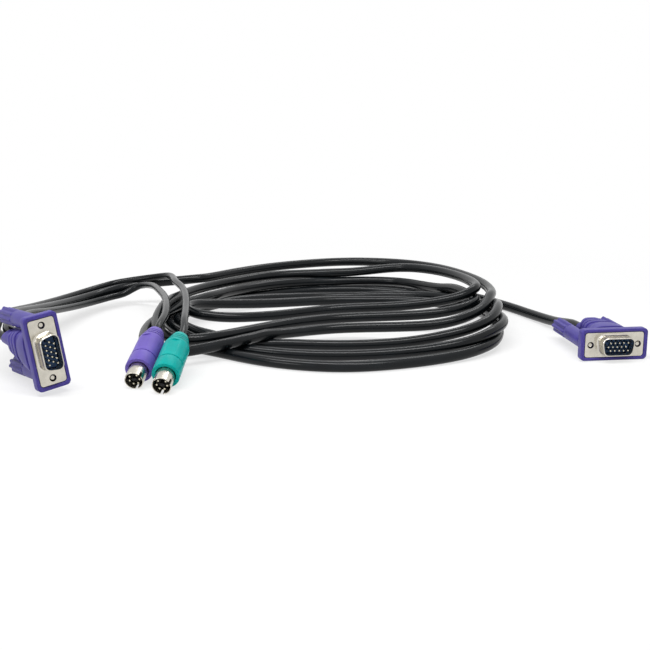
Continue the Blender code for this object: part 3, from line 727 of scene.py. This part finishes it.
def contacts_shape(build):
    """Three rows of five blunt pins, the middle row half a pitch aside."""
    r = PIN_DIAMETER / 2
    profile = [(PIN_ROOT, r), (PIN_TIP, r), (PIN_TIP, r * 0.3)]
    for row in range(3):
        aside = -PIN_PITCH / 4 if row % 2 else PIN_PITCH / 4
        for column in range(5):
            x = (column - 2) * PIN_PITCH + aside
            skin(build, turned(softened(profile, r * 0.8), x, (1 - row) * ROW_SPACING, 16))


def round_body_shape(build):
    """Moulded grip of a round plug: front ring, flat on top and grooved tail."""
    full, tail = ROUND_DIAMETER / 2, ROUND_TAIL_DIAMETER / 2
    bore = ROUND_SHELL_DIAMETER / 2 + GAP
    waist_end = GROOVE_START - 2 * GROOVE_WIDTH
    profile = [(ROUND_SHELL_ROOT, bore), (0.0, bore), (0.0, full), (ROUND_FRONT_RING, full)]
    profile.append((ROUND_FRONT_RING, full - GROOVE_DEPTH))
    profile.append((ROUND_FRONT_RING + GROOVE_WIDTH, full - GROOVE_DEPTH))
    profile.append((ROUND_FRONT_RING + GROOVE_WIDTH, full - GROOVE_DEPTH / 4))
    flat_start, flat_end = ROUND_FRONT_RING + 3 * GROOVE_WIDTH, GROOVE_START - 3 * GROOVE_WIDTH
    steps = 30
    for k in range(steps):
        y = flat_start + (flat_end - flat_start) * (k - 0.5) / (steps - 2)
        profile.append((y, full - GROOVE_DEPTH / 4))
    profile.append((waist_end, full - GROOVE_DEPTH / 4))
    slope = (full - tail) / (ROUND_LENGTH - waist_end)
    for groove in range(GROOVE_COUNT):
        start = GROOVE_START + groove * GROOVE_PITCH
        shore = full - slope * (start - waist_end)
        far = start + GROOVE_WIDTH
        profile += [(start, shore), (start, shore - GROOVE_DEPTH)]
        profile += [(far, shore - GROOVE_DEPTH), (far, shore - slope * GROOVE_WIDTH)]
    profile += [(ROUND_LENGTH, tail), (ROUND_LENGTH, tail - GROOVE_DEPTH)]
    rings = turned(softened(profile, 0.0004, 3), steps=80)
    for ring in rings:
        for point in ring:
            if flat_start < point.y < flat_end:
                point.z = min(point.z, ROUND_FLAT)
    skin(build, rings)


def round_shell_shape(build):
    """Thin metal tube with three keyways in its open end."""
    steps = 120
    outer = ROUND_SHELL_DIAMETER / 2
    inner = outer - ROUND_SHELL_WALL
    half_key = KEYWAY_WIDTH / 2 / outer
    keys = [math.radians(angle) for angle in (-90, 30, 150)]

    def front(angle):
        near = min(abs((angle - key + math.pi) % (2 * math.pi) - math.pi) for key in keys)
        return KEYWAY_LENGTH - ROUND_SHELL_REACH if near < half_key else -ROUND_SHELL_REACH

    lip = ROUND_SHELL_WALL / 4
    levels = ((1.0, 0.0, inner), (0.0, lip, inner), (0.0, 0.0, inner + lip))
    levels += ((0.0, 0.0, outer - lip), (0.0, lip, outer), (1.0, 0.0, outer))
    rings = []
    for share, back, radius in levels:
        ring = []
        for k, point in enumerate(circle(0.0, radius, steps=steps)):
            start = front(2 * math.pi * k / steps) + back
            ring.append(Vector((point.x, start + share * (ROUND_SHELL_ROOT - start), point.z)))
        rings.append(ring)
    skin(build, rings, closed=True)


def round_base_shape(build):
    """Black block at the bottom of the tube, with the flat key post."""
    block = ROUND_SHELL_DIAMETER / 2 - ROUND_SHELL_WALL - GAP
    profile = [(ROUND_SHELL_ROOT, block), (-ROUND_INSULATOR_FACE, block)]
    skin(build, turned(softened(profile + [(-ROUND_INSULATOR_FACE, block * 0.8)], 0.0003)))
    reach = -ROUND_INSULATOR_FACE - ROUND_PIN_REACH
    size = (*KEY_POST, KEY_POST[1] / 5)
    levels = softened([(0.0, 0.0), (reach, 0.0), (reach, -KEY_POST[1] / 4)], 0.0003)
    skin(build, [rectangle(size, y, grow, 4) for y, grow in levels])


def round_contacts_shape(build):
    """Six blunt pins at the bottom of the tube."""
    r = ROUND_PIN_DIAMETER / 2
    tip = -ROUND_INSULATOR_FACE - ROUND_PIN_REACH
    for x, z in ROUND_PIN_PLACES:
        skin(build, turned(softened([(0.0, r), (tip, r), (tip, r * 0.3)], r * 0.8), x, z, 16))


def make_plugs(materials):
    """Detailed pieces of the four plugs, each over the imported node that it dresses."""

    def piece(name, shape, slot, plug, nodes, body="cable", x=0.0, cutter=None):
        place = plug_frame(plug) @ Matrix.Translation((x, 0.0, 0.0))
        add_piece(name, shape, materials[slot], place, body, nodes, cutter)

    for plug, cords in (("switch_plug", 1), ("computer_plug", 3)):
        hood = [f"{plug}_hood"]
        piece(f"{plug}_moulding", hood_shape(cords), "purple_plastic", plug, hood)
        piece(f"{plug}_bezel", bezel_shape, "purple_plastic", plug, hood, cutter=screw_bores)
        pins = [f"{plug}_pin_{number:02d}" for number in range(1, 16)]
        piece(f"{plug}_contacts", contacts_shape, "plated_contacts", plug, pins)
        for side, x in screw_sides():
            body = f"{plug}_{side}_thumbscrew"
            name = f"{plug}_{side}"
            piece(f"{name}_grip", knob_shape, "purple_plastic", plug, [f"{name}_knob"], body, x)
            piece(f"{name}_thread", screw_shape, "nickel_plate", plug, [f"{name}_screw"], body, x)
    for plug, colour in (("mouse_plug", "teal_plastic"), ("keyboard_plug", "violet_plastic")):
        piece(f"{plug}_grip", round_body_shape, colour, plug, [f"{plug}_body"])
        piece(f"{plug}_tube", round_shell_shape, "nickel_plate", plug, [f"{plug}_shell"])
        base = [f"{plug}_insulator"]
        piece(f"{plug}_base", round_base_shape, "black_plastic", plug, base)
        piece(f"{plug}_contacts", round_contacts_shape, "plated_contacts", plug, base)


def make_materials():
    """One finished material for each slot of the record."""
    jacket = Shading("cable_jacket", (0.003, 0.0042, 0.0052), 0.22, gloss=0.22)
    jacket.vary_colour(60, 0.8, 1.6).vary_roughness(90, 0.06).bump(420, 0.00003, 4.0)
    purple = Shading("hood_vinyl", (0.065, 0.050, 0.27), 0.42, gloss=0.2)
    purple.vary_colour(150, 0.88, 1.1).vary_roughness(300, 0.06).bump(1500, 0.00005, 3.0)
    violet = Shading("keyboard_vinyl", (0.145, 0.10, 0.44), 0.36, gloss=0.2)
    violet.vary_colour(150, 0.88, 1.1).vary_roughness(300, 0.06).bump(1500, 0.00004, 3.0)
    teal = Shading("mouse_vinyl", (0.0, 0.37, 0.34), 0.36, gloss=0.12)
    teal.vary_colour(150, 0.88, 1.1).vary_roughness(300, 0.06).bump(1500, 0.00004, 3.0)
    blue = Shading("blue_insulator", (0.003, 0.04, 0.13), 0.42, gloss=0.4)
    blue.vary_colour(400, 0.85, 1.15).bump(2500, 0.00002)
    black = Shading("black_insulator", (0.006, 0.006, 0.007), 0.5, gloss=0.3)
    black.vary_colour(400, 0.8, 1.3).bump(2500, 0.00002)
    nickel = Shading("nickel_plate", (0.60, 0.57, 0.50), 0.24, 1.0)
    nickel.vary_colour(260, 0.88, 1.08).vary_roughness(500, 0.08).bump(900, 0.00001)
    pins = Shading("plated_pins", (0.62, 0.58, 0.46), 0.26, 1.0)
    pins.vary_colour(800, 0.9, 1.05)
    return {
        "black_jacket": jacket.material,
        "purple_plastic": purple.material,
        "violet_plastic": violet.material,
        "teal_plastic": teal.material,
        "blue_insulator": blue.material,
        "black_plastic": black.material,
        "nickel_plate": nickel.material,
        "plated_contacts": pins.material,
    }


def dress_nodes(materials):
    """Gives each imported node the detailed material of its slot."""
    for part in frame["record"]["subparts"]:
        mesh = NODES[part["node"]].data
        mesh.materials.clear()
        mesh.materials.append(materials[part["material_slot"]])


def make_camera():
    """The photograph's camera."""
    camera = bpy.data.objects.new("camera", bpy.data.cameras.new("camera"))
    camera.data.lens = CAMERA_LENS
    camera.data.sensor_width = CAMERA_SENSOR
    camera.location = CAMERA_FROM_COIL - LAYOUT_CENTRE
    camera.rotation_euler = (math.radians(90) - CAMERA_PITCH, 0.0, 0.0)
    camera.data.clip_start, camera.data.clip_end = 0.01, 20.0
    bpy.context.scene.collection.objects.link(camera)
    bpy.context.scene.camera = camera


def make_lamp(name, place, aim, size, watts):
    """A rectangular soft lamp that shines towards its aim."""
    lamp = bpy.data.objects.new(name, bpy.data.lights.new(name, "AREA"))
    lamp.data.shape = "RECTANGLE"
    lamp.data.size, lamp.data.size_y = size
    lamp.data.energy = watts
    lamp.location = place
    lamp.rotation_euler = (Vector(aim) - Vector(place)).to_track_quat("-Z", "Y").to_euler()
    bpy.context.scene.collection.objects.link(lamp)


def seen_or_lit(tree, lit, amount):
    """The lit shader, mixed with plain white to the eye, in gloss and through glass.

    The amount is the share of white, a number or a socket.
    """
    rays = tree.nodes.new("ShaderNodeLightPath")
    seen = None
    for kind in ("Is Camera Ray", "Is Glossy Ray", "Is Transmission Ray"):
        if seen is None:
            seen = rays.outputs[kind]
            continue
        either = tree.nodes.new("ShaderNodeMath")
        either.operation = "MAXIMUM"
        tree.links.new(seen, either.inputs[0])
        tree.links.new(rays.outputs[kind], either.inputs[1])
        seen = either.outputs["Value"]
    share = tree.nodes.new("ShaderNodeMath")
    share.operation = "MULTIPLY"
    tree.links.new(seen, share.inputs[0])
    if isinstance(amount, float):
        share.inputs[1].default_value = amount
    else:
        tree.links.new(amount, share.inputs[1])
    white = tree.nodes.new("ShaderNodeEmission")
    white.inputs["Color"].default_value = (1.0, 1.0, 1.0, 1.0)
    white.inputs["Strength"].default_value = 1.0
    mix = tree.nodes.new("ShaderNodeMixShader")
    tree.links.new(share.outputs["Value"], mix.inputs["Fac"])
    tree.links.new(lit, mix.inputs[1])
    tree.links.new(white.outputs["Emission"], mix.inputs[2])
    return mix.outputs["Shader"]


def make_table():
    """A white table that keeps a faint shadow near the cable and is plain further off."""
    floor = bpy.data.meshes.new("table")
    build = bmesh.new()
    bmesh.ops.create_grid(build, x_segments=1, y_segments=1, size=TABLE_HALF)
    build.to_mesh(floor)
    build.free()
    table = bpy.data.objects.new("table", floor)
    bpy.context.scene.collection.objects.link(table)
    material = bpy.data.materials.new("white_table")
    material.use_nodes = True
    tree = material.node_tree
    shader = tree.nodes["Principled BSDF"]
    shader.inputs["Base Color"].default_value = TABLE_WHITE
    shader.inputs["Roughness"].default_value = 0.9
    place = tree.nodes.new("ShaderNodeTexCoord").outputs["Object"]
    away = tree.nodes.new("ShaderNodeVectorMath")
    away.operation = "LENGTH"
    tree.links.new(place, away.inputs[0])
    plain = tree.nodes.new("ShaderNodeMapRange")
    plain.interpolation_type = "SMOOTHSTEP"
    for name, value in zip(("From Min", "From Max", "To Min", "To Max"), TABLE_FADE):
        plain.inputs[name].default_value = value
    tree.links.new(away.outputs["Value"], plain.inputs["Value"])
    surface = seen_or_lit(tree, shader.outputs["BSDF"], plain.outputs["Result"])
    tree.links.new(surface, tree.nodes["Material Output"].inputs["Surface"])
    floor.materials.append(material)


def make_studio():
    """A white table and surround, a long soft lamp above and weaker ones around."""
    make_table()
    world = bpy.data.worlds.new("surround")
    world.use_nodes = True
    tree = world.node_tree
    lit = tree.nodes["Background"]
    lit.inputs["Color"].default_value = (1.0, 1.0, 1.0, 1.0)
    lit.inputs["Strength"].default_value = SURROUND_LIGHT
    surface = seen_or_lit(tree, lit.outputs["Background"], 1.0)
    tree.links.new(surface, tree.nodes["World Output"].inputs["Surface"])
    bpy.context.scene.world = world
    for name, (place, aim, size, watts) in LAMPS.items():
        make_lamp(name, place, aim, size, watts)


def lay_cords(materials):
    """The thick cable from plug to plug, and the two thin cords beside its end."""
    switch, computer = neck_frame("switch_plug"), neck_frame("computer_plug")
    leaving = [Vector((0.0, NECK_LENGTH + lead, 0.0)) for lead in NECK_LEAD]
    start = [switch @ place for place in leaving]
    end = [computer @ place for place in reversed(leaving)]
    turns = placed(TURNS, COIL_DECIMALS)
    route = start + placed(SWITCH_TAIL) + turns + placed(COMPUTER_TAIL) + end
    cable_line = settle(smooth_line(route), CABLE_DIAMETER)
    jacket = materials["black_jacket"]
    cable = make_cord("main_cable", cable_line, CABLE_DIAMETER, jacket)
    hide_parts("coiled_cable", "switch_end_cable", "computer_end_cable")
    side = computer.to_3x3() @ Vector((0.0, 0.0, 1.0))
    back_along = cable_line[::-1]
    for name, direction, middle in (
        ("mouse", -1, MOUSE_CORD),
        ("keyboard", 1, KEYBOARD_CORD),
    ):
        plug = plug_frame(f"{name}_plug")
        finish = [plug @ Vector((0.0, back, 0.0)) for back in ROUND_LEAD]
        bundled = beside(back_along, side, direction)[::BUNDLE_STRIDE]
        line = smooth_line(bundled + placed(middle) + finish)
        cord = make_cord(f"{name}_thin_cord", line, CORD_DIAMETER, jacket)
        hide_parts(f"{name}_cord")


def main():
    make_camera()
    materials = make_materials()
    lay_cords(materials)
    make_plugs(materials)
    dress_nodes(materials)
    make_studio()
    bpy.context.scene.view_settings.view_transform = "Standard"


main()
